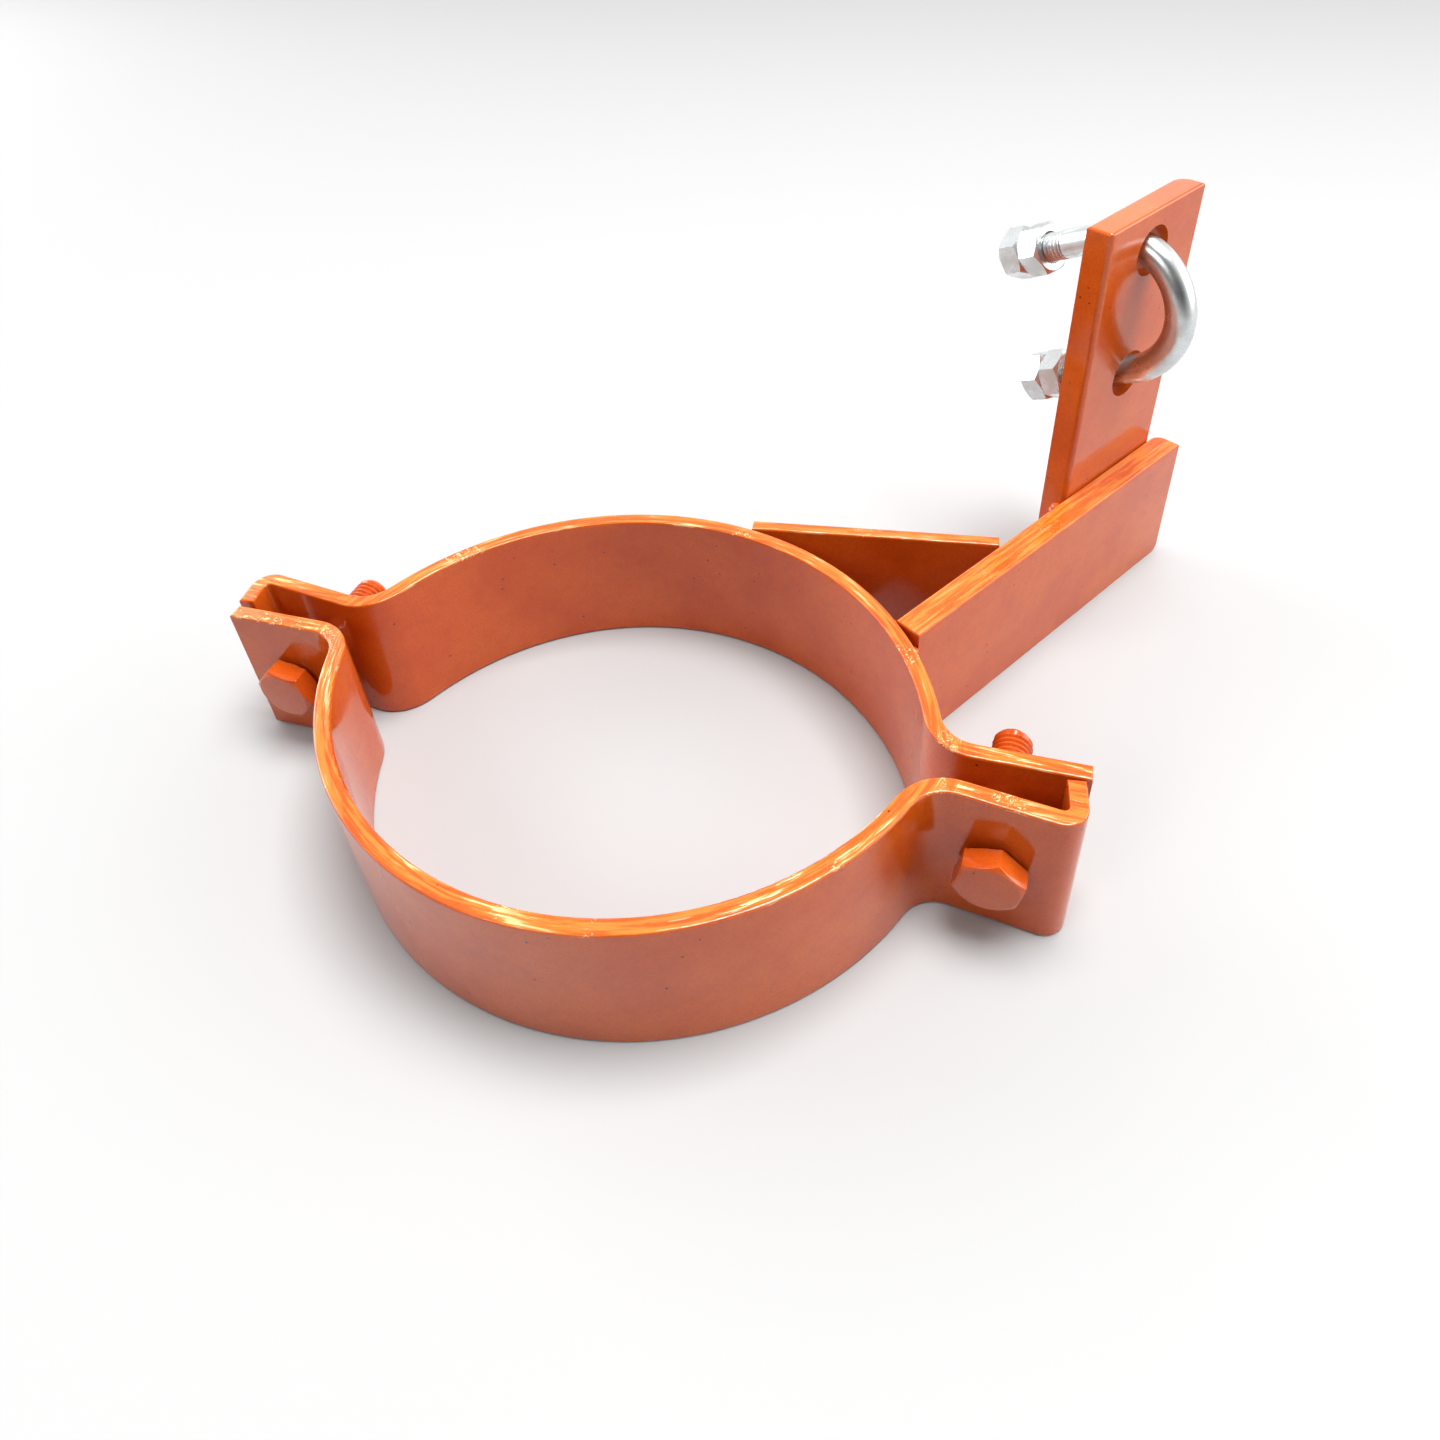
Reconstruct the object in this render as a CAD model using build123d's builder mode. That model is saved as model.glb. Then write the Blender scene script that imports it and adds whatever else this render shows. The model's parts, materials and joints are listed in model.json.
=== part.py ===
"""Two-half band clamp with a welded side arm, an upright plate and a U-bolt.

Frame: millimetres, +Z up.  The origin is the middle of the hoop, level with the lower edges of
its two half bands, and Z is the axis of the pole that the hoop closes on.  X runs through the
two clamping bolts' ears, and -Y is the side of the bolt heads.
"""

import os
from math import asin, atan2, cos, degrees, hypot, radians, sin, sqrt, tan

from build123d import *

os.makedirs("parts", exist_ok=True)

# ------------------------------------------------------------------ strap that makes the hoop
band_height = 50.0          # width of the flat strap, standing on edge
band_thickness = 5.0
band_radius = 91.5          # inside radius of each bent half
bow_offset = 18.2           # each half's centre of curvature lies this far past the middle
neck_radius = 10.5          # hollow side of the bend from the bow to an ear
band_edge_round = 0.7

# Ears: one plain and one lipped on each half.  Heights are the gap side's distance from the
# parting plane (Y = 0), measured at ear_station.  Lengths along the ears run outwards from
# where a full circle of the band's radius would cross that plane.
ear_station = band_radius + 23.5
plain_ear_height = 2.1
plain_ear_tilt = 2.5        # degrees, ear leaning back from the gap
lipped_ear_height = 7.5
lipped_ear_tilt = 4.5
lip_inner_radius = 1.5
lip_lean = 9.5              # degrees that the lip is bent past square
rear_plain_reach = band_radius + 41.0   # pole axis to the tip of each ear
rear_lip_reach = band_radius + 43.5
front_plain_reach = band_radius + 40.5
front_lip_reach = band_radius + 41.1
front_lip_gap = 0.7         # free end of the lip to the other half's plain ear
rear_lip_gap = 2.2

# ------------------------------------------------------------------ clamping bolts, M12
bolt_diameter = 12.0
bolt_length = 45.0
bolt_head_flats = 17.6
bolt_head_height = 6.4
washer_face_diameter = 16.2  # round bearing face under each bolt head
washer_face_height = 0.8
bolt_nut_flats = 17.6
bolt_nut_height = 10.0
right_bolt_x = band_radius + 19.5
left_bolt_x = -(band_radius + 23.5)
ear_hole_clearance = 1.0    # radial
thread_fit = 0.05           # radial, thread to nut
seat_gap = 0.08             # head or nut to the ear it bears on
right_head_turn = 17.4      # degrees that each hexagon is turned from lying flat
left_head_turn = -10.1
right_nut_turn = 8.0
left_nut_turn = 24.0

# ------------------------------------------------------------------ side arm and its brace
arm_height = 50.0
arm_thickness = 9.5
arm_length = 142.0
arm_angle = 59.7            # degrees from +X
arm_offset = 42.25          # pole axis to the arm's middle plane
arm_gap = 0.062             # arm's near corner to the band, bridged by the welds
bar_edge_round = 0.9
arm_end_round = 4.0
arm_toe_round = 3.0

brace_height = 50.0
brace_thickness = 4.5
brace_angle = 9.3
brace_foot_x = 14.8         # where the brace's near corner meets the band
brace_gap = 0.15            # brace to band and brace to arm, bridged by the welds

# ------------------------------------------------------------------ upright plate
plate_width = 50.0
plate_thickness = 9.0
plate_length = 145.0
plate_bottom = 2.0
plate_run = 109.4           # arm's near end to the foot of the plate's middle line
plate_lean = 1.5            # degrees that the plate leans towards the arm's far end
plate_corner_round = 5.0
plate_edge_round = 1.8      # front upright edge on the near side
plate_top_slope = 3.2       # degrees that the top is cut out of square
rod_hole_clearance = 6.9    # rod to hole, on the diameter
rod_hole_closer = 0.8       # the two holes' spacing is this much less than the legs'
rod_hole_mid_height = 111.2

# ------------------------------------------------------------------ U-bolt, M10
rod_diameter = 9.6
rod_thread_diameter = 9.9
rod_leg_spacing = 44.8
rod_upper_leg_length = 40.0  # bow's centre to each leg's end
rod_lower_leg_length = 44.5
rod_thread_length = 27.0
rod_tilt = 26.5             # degrees that the legs droop behind the plate
rod_bow_standoff = 8.2      # plate's front face to the bow's centre, measured inwards
rod_bow_rise = 0.6          # bow's centre above the middle of the two holes
rod_nut_flats = 16.0
rod_nut_height = 8.0
rod_nut_gap = 0.1           # between a nut and its lock nut
upper_nut_station = 20.0    # bow's centre to the near face of each pair
lower_nut_station = 25.0
upper_nut_turn = 58.5
upper_lock_turn = 28.0
lower_nut_turn = 30.4
lower_lock_turn = 9.3
rod_hole_diameter = rod_diameter + rod_hole_clearance
rod_hole_spacing = rod_leg_spacing - rod_hole_closer

# ------------------------------------------------------------------ weld beads
bead_leg = 4.5
bead_end_gap = 2.0

mid_height = band_height / 2
bow_middle = band_radius + band_thickness / 2
neck_middle = neck_radius + band_thickness / 2
lip_middle = lip_inner_radius + band_thickness / 2


def unit(angle):
    return Vector(cos(radians(angle)), sin(radians(angle)))


def arc_middle(centre, start, end):
    """Point of the short arc from start to end, half way round."""
    half = ((start - centre).normalized() + (end - centre).normalized()).normalized()
    return centre + half * (start - centre).length


def ear_line(height, tilt):
    """Point and direction of an ear's middle line, on the +X side of the rear half."""
    direction = unit(tilt)
    normal = Vector(-direction.Y, direction.X)
    point = Vector(ear_station, height) + normal * (band_thickness / 2)
    return point, direction, normal


def neck(height, tilt):
    """Centre and two ends of the bend between the bow and an ear."""
    point, direction, normal = ear_line(height, tilt)
    bow_centre = Vector(0, -bow_offset)
    start = point + normal * neck_middle - bow_centre
    along = start.dot(direction)
    reach = bow_middle + neck_middle
    travel = -along + sqrt(along ** 2 - start.length ** 2 + reach ** 2)
    centre = bow_centre + start + direction * travel
    on_bow = bow_centre + (centre - bow_centre) * (bow_middle / reach)
    on_ear = centre - normal * neck_middle
    return centre, on_bow, on_ear


def lip(reach, gap):
    """Centre, two ends and free tip of the lip's middle line, on the +X side."""
    point, direction, normal = ear_line(lipped_ear_height, lipped_ear_tilt)
    centre_x = reach - lip_inner_radius - band_thickness
    travel = (centre_x + normal.X * lip_middle - point.X) / direction.X
    on_ear = point + direction * travel
    centre = on_ear - normal * lip_middle
    heading = unit(-90 - lip_lean)
    on_lip = centre + Vector(-heading.Y, heading.X) * lip_middle
    # The other half's plain ear, seen from this half, lies on the far side of the parting plane.
    across = unit(-plain_ear_tilt)
    face = Vector(ear_station, -plain_ear_height + gap)
    run = ((face - on_lip).X * across.Y - (face - on_lip).Y * across.X)
    run = run / (heading.X * across.Y - heading.Y * across.X)
    tip = on_lip + heading * run
    return centre, on_ear, on_lip, tip


def draw_half(plain_reach, lip_reach, lip_gap):
    """Middle line of one half: plain ear on the +X side, lipped ear on the -X side."""
    point, direction, normal = ear_line(plain_ear_height, plain_ear_tilt)
    ear_tip = point + direction * ((plain_reach - point.X) / direction.X)
    neck_centre, on_bow, on_ear = neck(plain_ear_height, plain_ear_tilt)
    Line(ear_tip, on_ear)
    ThreePointArc(on_ear, arc_middle(neck_centre, on_ear, on_bow), on_bow)
    far_centre, far_bow, far_ear = [
        Vector(-p.X, p.Y) for p in neck(lipped_ear_height, lipped_ear_tilt)
    ]
    ThreePointArc(on_bow, Vector(0, bow_middle - bow_offset), far_bow)
    ThreePointArc(far_bow, arc_middle(far_centre, far_bow, far_ear), far_ear)
    lip_centre, lip_start, lip_end, lip_tip = [Vector(-p.X, p.Y) for p in lip(lip_reach, lip_gap)]
    Line(far_ear, lip_start)
    ThreePointArc(lip_start, arc_middle(lip_centre, lip_start, lip_end), lip_end)
    Line(lip_end, lip_tip)


def square_ends(plain_reach, lip_reach, lip_gap):
    """Trim the strap square at the plain ear's tip and at the lip's tip."""
    point, direction, normal = ear_line(plain_ear_height, plain_ear_tilt)
    ear_tip = point + direction * ((plain_reach - point.X) / direction.X)
    with Locations(Location((ear_tip.X, ear_tip.Y, 0), (0, 0, plain_ear_tilt))):
        Rectangle(band_thickness, 2 * band_thickness, align=(Align.MIN, Align.CENTER),
                  mode=Mode.SUBTRACT)
    lip_tip = lip(lip_reach, lip_gap)[3]
    with Locations(Location((-lip_tip.X, lip_tip.Y, 0), (0, 0, -90 + lip_lean))):
        Rectangle(band_thickness, 2 * band_thickness, align=(Align.MIN, Align.CENTER),
                  mode=Mode.SUBTRACT)


# ==================================================================== the two halves of the hoop
with BuildPart() as rear_band:
    with BuildSketch(Plane.XY):
        with BuildLine():
            draw_half(rear_plain_reach, rear_lip_reach, rear_lip_gap)
            offset(amount=band_thickness / 2, side=Side.BOTH)
        make_face()
        square_ends(rear_plain_reach, rear_lip_reach, rear_lip_gap)
    extrude(amount=band_height)
    fillet(
        rear_band.edges().group_by(Axis.Z)[0] + rear_band.edges().group_by(Axis.Z)[-1],
        band_edge_round,
    )
    with BuildSketch(Plane.XZ):
        with Locations((right_bolt_x, mid_height), (left_bolt_x, mid_height)):
            Circle(bolt_diameter / 2 + ear_hole_clearance)
    extrude(amount=30, both=True, mode=Mode.SUBTRACT)
rear_band.part.label = "rear_band"
export_step(rear_band.part, "parts/rear_band.step")

# The front half is the same bent strap turned half round the pole's axis.
with BuildPart() as front_band:
    with BuildSketch(Plane.XY.rotated((0, 0, 180))):
        with BuildLine():
            draw_half(front_plain_reach, front_lip_reach, front_lip_gap)
            offset(amount=band_thickness / 2, side=Side.BOTH)
        make_face()
        square_ends(front_plain_reach, front_lip_reach, front_lip_gap)
    extrude(amount=band_height)
    fillet(
        front_band.edges().group_by(Axis.Z)[0] + front_band.edges().group_by(Axis.Z)[-1],
        band_edge_round,
    )
    with BuildSketch(Plane.XZ):
        with Locations((right_bolt_x, mid_height), (left_bolt_x, mid_height)):
            Circle(bolt_diameter / 2 + ear_hole_clearance)
    extrude(amount=30, both=True, mode=Mode.SUBTRACT)
front_band.part.label = "front_band"
export_step(front_band.part, "parts/front_band.step")

# ==================================================================== side arm, brace and plate
# The arm's own plane: local X runs out along the arm, local Y towards its rear face.
arm_direction = unit(arm_angle)
arm_normal = Vector(-arm_direction.Y, arm_direction.X)
arm_plane = Plane(origin=(0, 0, 0), x_dir=(arm_direction.X, arm_direction.Y, 0), z_dir=(0, 0, 1))
arm_rear_face = -arm_offset + arm_thickness / 2
arm_front_face = -arm_offset - arm_thickness / 2

# The arm starts where its rear corner meets the outside of the rear half.
band_outside = band_radius + band_thickness
bow_centre = Vector(0, -bow_offset)
corner_across = arm_rear_face - bow_centre.dot(arm_normal)
arm_start = sqrt(band_outside ** 2 - corner_across ** 2) + bow_centre.dot(arm_direction) + arm_gap
plate_station = arm_start + plate_run

with BuildPart() as arm_bar:
    with BuildSketch(arm_plane):
        with Locations((arm_start, -arm_offset)):
            Rectangle(arm_length, arm_thickness, align=(Align.MIN, Align.CENTER))
    extrude(amount=arm_height)
    far_edges = arm_bar.edges().filter_by(Axis.Z).sort_by(lambda e: e.center().dot(arm_direction))
    fillet(far_edges[-2:].sort_by(lambda e: e.center().dot(arm_normal))[-1], arm_end_round)
    toe = arm_bar.faces().sort_by(lambda f: f.center().dot(arm_direction))[-1]
    fillet(toe.edges().sort_by(Axis.Z)[0], arm_toe_round)
    fillet(arm_bar.edges().group_by(Axis.Z)[-1], bar_edge_round)
arm_bar.part.label = "arm_bar"
export_step(arm_bar.part, "parts/arm_bar.step")

# The brace stands on edge from the back of the hoop to the arm's rear face.
brace_direction = unit(brace_angle)
brace_normal = Vector(-brace_direction.Y, brace_direction.X)
brace_foot = Vector(brace_foot_x, sqrt(band_outside ** 2 - brace_foot_x ** 2) - bow_offset)
brace_foot = brace_foot + unit(90) * brace_gap
# Run along the brace until its near face meets the arm's rear face, less the gap.
brace_length = (arm_rear_face + brace_gap - brace_foot.dot(arm_normal))
brace_length = brace_length / brace_direction.dot(arm_normal)
brace_plane = Plane(
    origin=(brace_foot.X, brace_foot.Y, 0),
    x_dir=(brace_direction.X, brace_direction.Y, 0),
    z_dir=(0, 0, 1),
)

with BuildPart() as brace_bar:
    with BuildSketch(brace_plane):
        Rectangle(brace_length, brace_thickness, align=(Align.MIN, Align.MIN))
    extrude(amount=brace_height)
    fillet(brace_bar.edges().group_by(Axis.Z)[-1], band_edge_round)
brace_bar.part.label = "brace_bar"
export_step(brace_bar.part, "parts/brace_bar.step")

# Upright plate, its front face flat against the arm's rear face.
plate_across = arm_direction * cos(radians(plate_lean)) - Vector(0, 0, sin(radians(plate_lean)))
plate_up = arm_direction * sin(radians(plate_lean)) + Vector(0, 0, cos(radians(plate_lean)))
plate_face = Plane(
    origin=arm_direction * plate_station + arm_normal * arm_rear_face,
    x_dir=plate_across,
    z_dir=-arm_normal,
)
plate_section = Plane(
    origin=plate_face.from_local_coords((0, plate_bottom, 0)),
    x_dir=plate_across,
    z_dir=plate_up,
)
plate_top_rise = plate_width / 2 * tan(radians(plate_top_slope))
with BuildPart() as u_bolt_plate:
    with BuildSketch(plate_face):
        with BuildLine():
            Polyline(
                (-plate_width / 2, plate_bottom), (plate_width / 2, plate_bottom),
                (plate_width / 2, plate_bottom + plate_length + plate_top_rise),
                (-plate_width / 2, plate_bottom + plate_length - plate_top_rise), close=True,
            )
        make_face()
    extrude(amount=-plate_thickness)
    uprights = u_bolt_plate.edges().filter_by(Axis((0, 0, 0), plate_up))
    back_pair = uprights.sort_by(lambda e: e.center().dot(arm_normal))[-2:]
    front_pair = uprights.sort_by(lambda e: e.center().dot(arm_normal))[:2]
    fillet(back_pair.sort_by(lambda e: e.center().dot(plate_across))[-1], plate_corner_round)
    fillet(front_pair.sort_by(lambda e: e.center().dot(plate_across))[0], plate_edge_round)
    plate_top = u_bolt_plate.faces().sort_by(lambda f: f.center().dot(plate_up))[-1]
    fillet(plate_top.edges(), bar_edge_round)
    with BuildSketch(plate_face):
        with Locations(
            (0, rod_hole_mid_height + rod_hole_spacing / 2),
            (0, rod_hole_mid_height - rod_hole_spacing / 2),
        ):
            Circle(rod_hole_diameter / 2)
    extrude(amount=2 * plate_thickness, both=True, mode=Mode.SUBTRACT)
u_bolt_plate.part.label = "u_bolt_plate"
export_step(u_bolt_plate.part, "parts/u_bolt_plate.step")

# ==================================================================== U-bolt
droop = radians(rod_tilt)
leg_direction = arm_normal * cos(droop) - plate_up * sin(droop)
bow_centre = plate_face.from_local_coords(
    (0, rod_hole_mid_height + rod_bow_rise, -rod_bow_standoff)
)
rod_plane = Plane(origin=bow_centre, x_dir=leg_direction, z_dir=plate_across)
rod_half = rod_leg_spacing / 2

with BuildPart() as u_bolt:
    with BuildLine(rod_plane) as rod_path:
        Line((rod_upper_leg_length, rod_half), (0, rod_half))
        ThreePointArc((0, rod_half), (-rod_half, 0), (0, -rod_half))
        Line((0, -rod_half), (rod_lower_leg_length, -rod_half))
    with BuildSketch(Plane(origin=rod_path.line @ 0, z_dir=rod_path.line % 0)):
        Circle(rod_diameter / 2)
    sweep()
    legs = ((rod_upper_leg_length, rod_half), (rod_lower_leg_length, -rod_half))
    for leg_length, side in legs:
        leg_plane = Plane(
            origin=rod_plane.from_local_coords((leg_length - rod_thread_length, side, 0)),
            x_dir=plate_across,
            z_dir=leg_direction,
        )
        with BuildSketch(leg_plane):
            Circle(rod_thread_diameter / 2)
        extrude(amount=rod_thread_length)
    tips = u_bolt.faces().filter_by(GeomType.PLANE).filter_by(
        lambda f: f.normal_at().dot(leg_direction) > 0.9
    )
    chamfer(tips.edges(), 0.9)
u_bolt.part.label = "u_bolt"
export_step(u_bolt.part, "parts/u_bolt.step")


# ==================================================================== hexagons, bolts and nuts
def hexagon(plane, flats, height, turn, near_chamfer):
    """Hexagonal block standing on a plane, corners turned off at 30 degrees."""
    with BuildSketch(plane) as blank:
        RegularPolygon(flats / 2, 6, major_radius=False, rotation=turn)
    extrude(blank.sketch, amount=height)
    flat_radius = 0.95 * flats / 2
    corner_radius = flats / sqrt(3) + 0.5
    drop = (corner_radius - flat_radius) * tan(radians(30))
    near = drop if near_chamfer else 0
    outline = [(0, 0), (flat_radius if near_chamfer else corner_radius, 0),
               (corner_radius, near), (corner_radius, height - drop),
               (flat_radius, height), (0, height)]
    if not near_chamfer:
        outline.pop(2)
    with BuildSketch(Plane(plane.origin, x_dir=plane.x_dir, z_dir=-plane.y_dir)) as section:
        with BuildLine():
            Polyline(*outline, close=True)
        make_face()
    revolve(section.sketch, axis=Axis(plane.origin, plane.z_dir), mode=Mode.INTERSECT)


def bore(plane, diameter, depth):
    """Tapped hole right through a nut, with both mouths opened out."""
    radius = diameter / 2 + thread_fit
    mouth = 0.6
    with BuildSketch(Plane(plane.origin, x_dir=plane.x_dir, z_dir=-plane.y_dir)) as section:
        with BuildLine():
            Polyline((0, 0), (radius + mouth, 0), (radius, mouth), (radius, depth - mouth),
                     (radius + mouth, depth), (0, depth), close=True)
        make_face()
    revolve(section.sketch, axis=Axis(plane.origin, plane.z_dir), mode=Mode.SUBTRACT)


def seat(height, tilt, bolt_x, reach):
    """Distance from the parting plane at which a bearing face just clears a leaning ear."""
    lean = (abs(bolt_x) + reach - ear_station) * tan(radians(tilt))
    return height + lean + band_thickness / cos(radians(tilt)) + seat_gap


nut_corner = bolt_nut_flats / sqrt(3)
right_head_y = -seat(lipped_ear_height, lipped_ear_tilt, right_bolt_x, washer_face_diameter / 2)
left_head_y = -seat(plain_ear_height, plain_ear_tilt, left_bolt_x, washer_face_diameter / 2)
right_nut_y = seat(plain_ear_height, plain_ear_tilt, right_bolt_x, nut_corner)
left_nut_y = seat(lipped_ear_height, lipped_ear_tilt, left_bolt_x, nut_corner)


def bolt_solid(bolt_x, head_y, turn):
    head_plane = Plane((bolt_x, head_y, mid_height), x_dir=(1, 0, 0), z_dir=(0, -1, 0))
    shank_plane = Plane((bolt_x, head_y, mid_height), x_dir=(1, 0, 0), z_dir=(0, 1, 0))
    hexagon(head_plane.offset(washer_face_height), bolt_head_flats, bolt_head_height, turn, False)
    with BuildSketch(head_plane) as washer_face:
        Circle(washer_face_diameter / 2)
    extrude(washer_face.sketch, amount=washer_face_height)
    with BuildSketch(shank_plane) as shank:
        Circle(bolt_diameter / 2)
    extrude(shank.sketch, amount=bolt_length)


with BuildPart() as right_ear_bolt:
    bolt_solid(right_bolt_x, right_head_y, right_head_turn)
    chamfer(right_ear_bolt.faces().sort_by(Axis.Y)[-1].edges(), 1.2)
right_ear_bolt.part.label = "right_ear_bolt"
export_step(right_ear_bolt.part, "parts/right_ear_bolt.step")

with BuildPart() as left_ear_bolt:
    bolt_solid(left_bolt_x, left_head_y, left_head_turn)
    chamfer(left_ear_bolt.faces().sort_by(Axis.Y)[-1].edges(), 1.2)
left_ear_bolt.part.label = "left_ear_bolt"
export_step(left_ear_bolt.part, "parts/left_ear_bolt.step")

right_nut_plane = Plane((right_bolt_x, right_nut_y, mid_height), x_dir=(1, 0, 0), z_dir=(0, 1, 0))
with BuildPart() as right_ear_nut:
    hexagon(right_nut_plane, bolt_nut_flats, bolt_nut_height, right_nut_turn, True)
    bore(right_nut_plane, bolt_diameter, bolt_nut_height)
right_ear_nut.part.label = "right_ear_nut"
export_step(right_ear_nut.part, "parts/right_ear_nut.step")

left_nut_plane = Plane((left_bolt_x, left_nut_y, mid_height), x_dir=(1, 0, 0), z_dir=(0, 1, 0))
with BuildPart() as left_ear_nut:
    hexagon(left_nut_plane, bolt_nut_flats, bolt_nut_height, left_nut_turn, True)
    bore(left_nut_plane, bolt_diameter, bolt_nut_height)
left_ear_nut.part.label = "left_ear_nut"
export_step(left_ear_nut.part, "parts/left_ear_nut.step")


def leg_plane_at(station, side):
    """Plane square to a leg of the U-bolt, facing the leg's tip."""
    return Plane(
        origin=rod_plane.from_local_coords((station, side, 0)),
        x_dir=plate_across,
        z_dir=leg_direction,
    )


upper_nut_plane = leg_plane_at(upper_nut_station, rod_half)
with BuildPart() as upper_leg_nut:
    hexagon(upper_nut_plane, rod_nut_flats, rod_nut_height, upper_nut_turn, True)
    bore(upper_nut_plane, rod_thread_diameter, rod_nut_height)
upper_leg_nut.part.label = "upper_leg_nut"
export_step(upper_leg_nut.part, "parts/upper_leg_nut.step")

upper_lock_plane = leg_plane_at(upper_nut_station + rod_nut_height + rod_nut_gap, rod_half)
with BuildPart() as upper_lock_nut:
    hexagon(upper_lock_plane, rod_nut_flats, rod_nut_height, upper_lock_turn, True)
    bore(upper_lock_plane, rod_thread_diameter, rod_nut_height)
upper_lock_nut.part.label = "upper_lock_nut"
export_step(upper_lock_nut.part, "parts/upper_lock_nut.step")

lower_nut_plane = leg_plane_at(lower_nut_station, -rod_half)
with BuildPart() as lower_leg_nut:
    hexagon(lower_nut_plane, rod_nut_flats, rod_nut_height, lower_nut_turn, True)
    bore(lower_nut_plane, rod_thread_diameter, rod_nut_height)
lower_leg_nut.part.label = "lower_leg_nut"
export_step(lower_leg_nut.part, "parts/lower_leg_nut.step")

lower_lock_plane = leg_plane_at(lower_nut_station + rod_nut_height + rod_nut_gap, -rod_half)
with BuildPart() as lower_lock_nut:
    hexagon(lower_lock_plane, rod_nut_flats, rod_nut_height, lower_lock_turn, True)
    bore(lower_lock_plane, rod_thread_diameter, rod_nut_height)
lower_lock_nut.part.label = "lower_lock_nut"
export_step(lower_lock_nut.part, "parts/lower_lock_nut.step")

# ==================================================================== weld beads
bead_height = arm_height - 2 * bead_end_gap
arm_near = arm_start
arm_front_corner = Vector(arm_near, arm_front_face)
arm_rear_corner = Vector(arm_near, arm_rear_face)

with BuildPart() as arm_outer_weld:
    with BuildSketch(arm_plane.offset(bead_end_gap)):
        with BuildLine():
            Polyline(
                (arm_near, arm_rear_face - 4.5), (arm_near, arm_front_face),
                (arm_near + 1.6, arm_front_face), (arm_near - 1.6, arm_front_face - 1.4),
                (arm_near - 5.2, arm_front_face - 2.8), (arm_near - 9, arm_front_face - 1.5),
                (arm_near - 6, arm_rear_face - 4.5), close=True,
            )
        make_face()
    extrude(amount=bead_height - 1)
    add(rear_band.part, mode=Mode.SUBTRACT)
    add(arm_bar.part, mode=Mode.SUBTRACT)
arm_outer_weld.part.label = "arm_outer_weld"
export_step(arm_outer_weld.part, "parts/arm_outer_weld.step")

with BuildPart() as arm_inner_weld:
    with BuildSketch(arm_plane.offset(bead_end_gap)):
        with BuildLine():
            Polyline(
                (arm_near - 2, arm_rear_face - 1), (arm_near + bead_leg, arm_rear_face),
                (arm_near + 0.65 * bead_leg, arm_rear_face + 0.6 * bead_leg),
                (arm_near + 1.3, arm_rear_face + bead_leg), (arm_near - 2, arm_rear_face + 4),
                close=True,
            )
        make_face()
    extrude(amount=bead_height)
    add(rear_band.part, mode=Mode.SUBTRACT)
    add(arm_bar.part, mode=Mode.SUBTRACT)
arm_inner_weld.part.label = "arm_inner_weld"
export_step(arm_inner_weld.part, "parts/arm_inner_weld.step")

with BuildPart() as brace_foot_weld:
    with BuildSketch(brace_plane.offset(bead_end_gap)):
        with BuildLine():
            Polyline(
                (2.0, -1.5), (2.0, 0.2), (0, bead_leg - 0.6), (-0.55 * bead_leg, 0.62 * bead_leg),
                (-bead_leg, 0.6), (-bead_leg, -2.5), close=True,
            )
        make_face()
    extrude(amount=bead_height)
    add(rear_band.part, mode=Mode.SUBTRACT)
    add(brace_bar.part, mode=Mode.SUBTRACT)
brace_foot_weld.part.label = "brace_foot_weld"
export_step(brace_foot_weld.part, "parts/brace_foot_weld.step")

with BuildPart() as brace_tip_weld:
    with BuildSketch(brace_plane.offset(bead_end_gap)):
        with BuildLine():
            Polyline(
                (brace_length - 2, -0.2), (brace_length, -1.4), (brace_length + 8, 6.5),
                (brace_length + 4.0, 6.2), (brace_length, brace_thickness - 0.3),
                (brace_length - 2, brace_thickness - 1), close=True,
            )
        make_face()
    extrude(amount=bead_height)
    add(arm_bar.part, mode=Mode.SUBTRACT)
    add(brace_bar.part, mode=Mode.SUBTRACT)
brace_tip_weld.part.label = "brace_tip_weld"
export_step(brace_tip_weld.part, "parts/brace_tip_weld.step")

bead_section = plate_section.offset(bead_end_gap)
with BuildPart() as plate_near_weld:
    with BuildSketch(bead_section):
        with BuildLine():
            Polyline(
                (-plate_width / 2, 0), (-plate_width / 2, bead_leg),
                (-plate_width / 2 - 0.6 * bead_leg, 0.6 * bead_leg),
                (-plate_width / 2 - bead_leg, 0), close=True,
            )
        make_face()
    extrude(amount=bead_height - plate_bottom)
plate_near_weld.part.label = "plate_near_weld"
export_step(plate_near_weld.part, "parts/plate_near_weld.step")

arm_far = arm_start + arm_length - arm_end_round
far_leg = min(bead_leg, arm_far - plate_station - plate_width / 2)
with BuildPart() as plate_far_weld:
    with BuildSketch(bead_section):
        with BuildLine():
            Polyline(
                (plate_width / 2, 0), (plate_width / 2, far_leg),
                (plate_width / 2 + 0.6 * far_leg, 0.6 * far_leg),
                (plate_width / 2 + far_leg, 0), close=True,
            )
        make_face()
    extrude(amount=bead_height - plate_bottom)
plate_far_weld.part.label = "plate_far_weld"
export_step(plate_far_weld.part, "parts/plate_far_weld.step")
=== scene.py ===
# %% [markdown]
# # A pole band clamp in gloss orange enamel
# This lesson dresses a steel clamp: two bent strap halves bolted at their ears, a side arm
# made of flat bar and a strap brace, and an upright plate that carries a zinc U-bolt.
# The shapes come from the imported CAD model, which stays fixed, so every number here is in
# metres in that model's own frame, with +Z up along the pole's axis.

# %% Load the frame
import json
import math
import bmesh
import bpy
from mathutils import Matrix, Vector

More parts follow.
